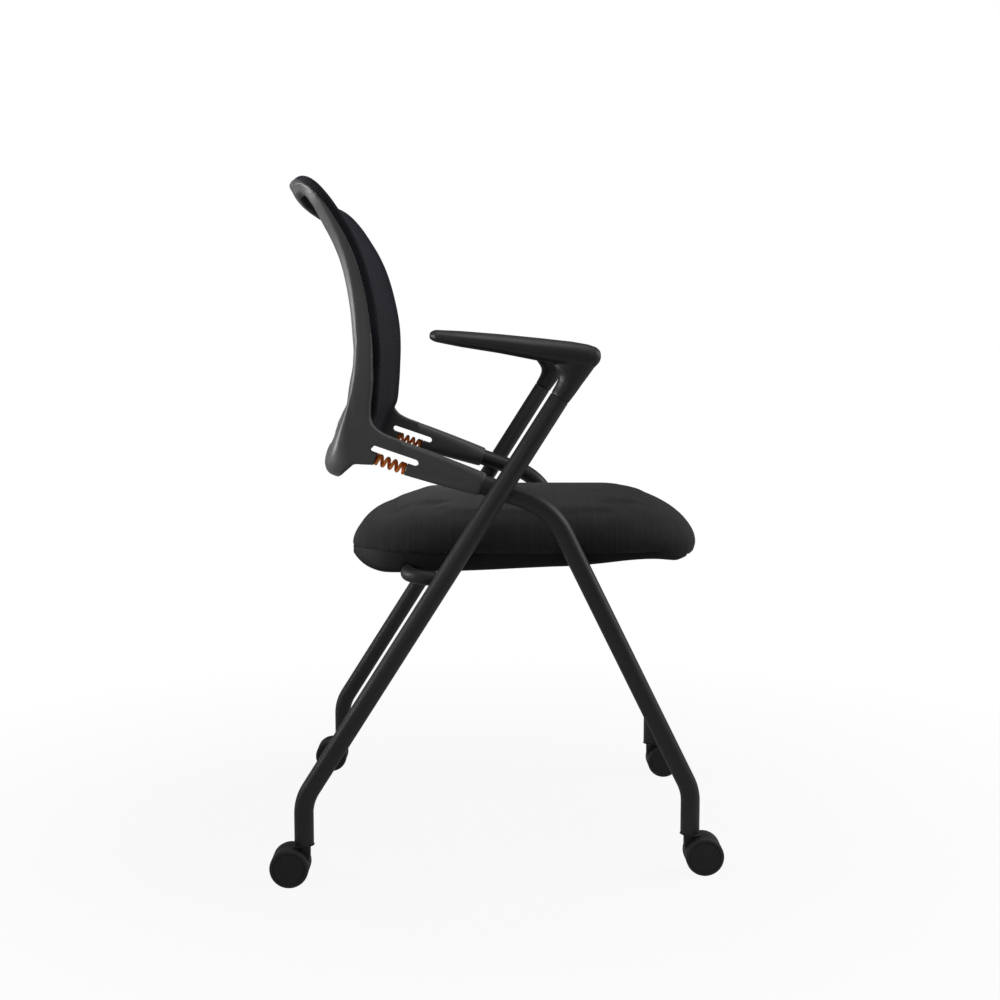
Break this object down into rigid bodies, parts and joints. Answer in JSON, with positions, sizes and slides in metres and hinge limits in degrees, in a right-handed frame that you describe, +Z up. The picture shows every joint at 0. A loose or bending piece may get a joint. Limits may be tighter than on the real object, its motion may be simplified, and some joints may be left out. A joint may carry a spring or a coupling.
{
  "type": "nesting chair",
  "caption": "Side chair with a bent tube frame on twin-wheel casters, a padded seat that flips up for nesting, plug-in armrests and a mesh back sprung on coil springs.",
  "frame": {"origin": "on the floor under the middle of the chair's box", "axes": "+X towards the sitter's front, +Y to the sitter's left, +Z up"},
  "size_m": [0.5884, 0.595, 0.9079],
  "materials": {
    "powder_coat": "satin black powder coat",
    "back_plastic": "fine-grained charcoal nylon",
    "arm_plastic": "fine-grained black polypropylene",
    "shell_plastic": "grained black polypropylene",
    "caster_plastic": "semi-matt black nylon",
    "back_knit": "blue-black ribbed knitted mesh",
    "seat_fabric": "charcoal fine knitted upholstery",
    "plywood": "raw plywood",
    "rubber": "black rubber",
    "spring_steel": "orange powder-coated spring wire",
    "zinc": "zinc-plated steel"
  },
  "bodies": {
    "frame": {"rear_crossbar": "powder_coat", "front_crossbar": "powder_coat", "rear_leg_tube_left": "powder_coat", "front_leg_tube_left": "powder_coat", "armrest_left": "arm_plastic", "back_arm_socket_left": "back_plastic", "back_arm_strip_left": "back_plastic", "back_spring_left": "spring_steel", "rear_leg_tube_right": "powder_coat", "front_leg_tube_right": "powder_coat", "armrest_right": "arm_plastic", "back_arm_socket_right": "back_plastic", "back_arm_strip_right": "back_plastic", "back_spring_right": "spring_steel", "caster_socket_front_left": "caster_plastic", "caster_socket_front_right": "caster_plastic", "caster_socket_rear_left": "caster_plastic", "caster_socket_rear_right": "caster_plastic"},
    "back": {"back_frame": "back_plastic", "back_mesh": "back_knit"},
    "seat": {"seat_cushion": "seat_fabric", "seat_board": "plywood", "seat_shell": "shell_plastic", "seat_pivot_clamp_left": "shell_plastic", "seat_rest_pad_left": "rubber", "seat_pivot_clamp_right": "shell_plastic", "seat_rest_pad_right": "rubber", "clamp_screw_left_front": "zinc", "clamp_screw_left_rear": "zinc", "clamp_screw_right_front": "zinc", "clamp_screw_right_rear": "zinc"},
    "caster_front_left": {"caster_stem_front_left": "zinc", "caster_hood_front_left": "caster_plastic", "caster_axle_front_left": "zinc"},
    "wheel_front_left_a": {"caster_wheel_front_left_a": "caster_plastic"},
    "wheel_front_left_b": {"caster_wheel_front_left_b": "caster_plastic"},
    "caster_front_right": {"caster_stem_front_right": "zinc", "caster_hood_front_right": "caster_plastic", "caster_axle_front_right": "zinc"},
    "wheel_front_right_a": {"caster_wheel_front_right_a": "caster_plastic"},
    "wheel_front_right_b": {"caster_wheel_front_right_b": "caster_plastic"},
    "caster_rear_left": {"caster_stem_rear_left": "zinc", "caster_hood_rear_left": "caster_plastic", "caster_axle_rear_left": "zinc"},
    "wheel_rear_left_a": {"caster_wheel_rear_left_a": "caster_plastic"},
    "wheel_rear_left_b": {"caster_wheel_rear_left_b": "caster_plastic"},
    "caster_rear_right": {"caster_stem_rear_right": "zinc", "caster_hood_rear_right": "caster_plastic", "caster_axle_rear_right": "zinc"},
    "wheel_rear_right_a": {"caster_wheel_rear_right_a": "caster_plastic"},
    "wheel_rear_right_b": {"caster_wheel_rear_right_b": "caster_plastic"}
  },
  "joints": [
    {"name": "seat_flip", "type": "hinge", "parent": "frame", "child": "seat", "pos_m": [-0.118, 0, 0.398], "axis": [0, -1, 0], "range_deg": [0, 72]},
    {"name": "back_recline", "type": "hinge", "parent": "frame", "child": "back", "pos_m": [-0.12985, 0, 0.56392], "axis": [0, -1, 0], "range_deg": [0, 12], "stiffness_Nm_per_rad": 140, "springref_deg": -5.73, "deforming": ["back_spring_left", "back_arm_strip_left", "back_spring_right", "back_arm_strip_right"]},
    {"name": "caster_swivel_front_left", "type": "hinge", "parent": "frame", "child": "caster_front_left", "pos_m": [0.2512, 0.229, 0.055], "axis": [0, 0, 1], "continuous": true},
    {"name": "wheel_spin_front_left_a", "type": "hinge", "parent": "caster_front_left", "child": "wheel_front_left_a", "pos_m": [0.2692, 0.2424, 0.025], "axis": [0, 1, 0], "continuous": true},
    {"name": "wheel_spin_front_left_b", "type": "hinge", "parent": "caster_front_left", "child": "wheel_front_left_b", "pos_m": [0.2692, 0.2156, 0.025], "axis": [0, 1, 0], "continuous": true},
    {"name": "caster_swivel_front_right", "type": "hinge", "parent": "frame", "child": "caster_front_right", "pos_m": [0.2512, -0.229, 0.055], "axis": [0, 0, 1], "continuous": true},
    {"name": "wheel_spin_front_right_a", "type": "hinge", "parent": "caster_front_right", "child": "wheel_front_right_a", "pos_m": [0.2692, -0.2156, 0.025], "axis": [0, 1, 0], "continuous": true},
    {"name": "wheel_spin_front_right_b", "type": "hinge", "parent": "caster_front_right", "child": "wheel_front_right_b", "pos_m": [0.2692, -0.2424, 0.025], "axis": [0, 1, 0], "continuous": true},
    {"name": "caster_swivel_rear_left", "type": "hinge", "parent": "frame", "child": "caster_rear_left", "pos_m": [-0.2512, 0.2683, 0.055], "axis": [0, 0, 1], "continuous": true},
    {"name": "wheel_spin_rear_left_a", "type": "hinge", "parent": "caster_rear_left", "child": "wheel_rear_left_a", "pos_m": [-0.2692, 0.2549, 0.025], "axis": [0, 1, 0], "continuous": true},
    {"name": "wheel_spin_rear_left_b", "type": "hinge", "parent": "caster_rear_left", "child": "wheel_rear_left_b", "pos_m": [-0.2692, 0.2817, 0.025], "axis": [0, 1, 0], "continuous": true},
    {"name": "caster_swivel_rear_right", "type": "hinge", "parent": "frame", "child": "caster_rear_right", "pos_m": [-0.2512, -0.2683, 0.055], "axis": [0, 0, 1], "continuous": true},
    {"name": "wheel_spin_rear_right_a", "type": "hinge", "parent": "caster_rear_right", "child": "wheel_rear_right_a", "pos_m": [-0.2692, -0.2817, 0.025], "axis": [0, 1, 0], "continuous": true},
    {"name": "wheel_spin_rear_right_b", "type": "hinge", "parent": "caster_rear_right", "child": "wheel_rear_right_b", "pos_m": [-0.2692, -0.2549, 0.025], "axis": [0, 1, 0], "continuous": true}
  ]
}
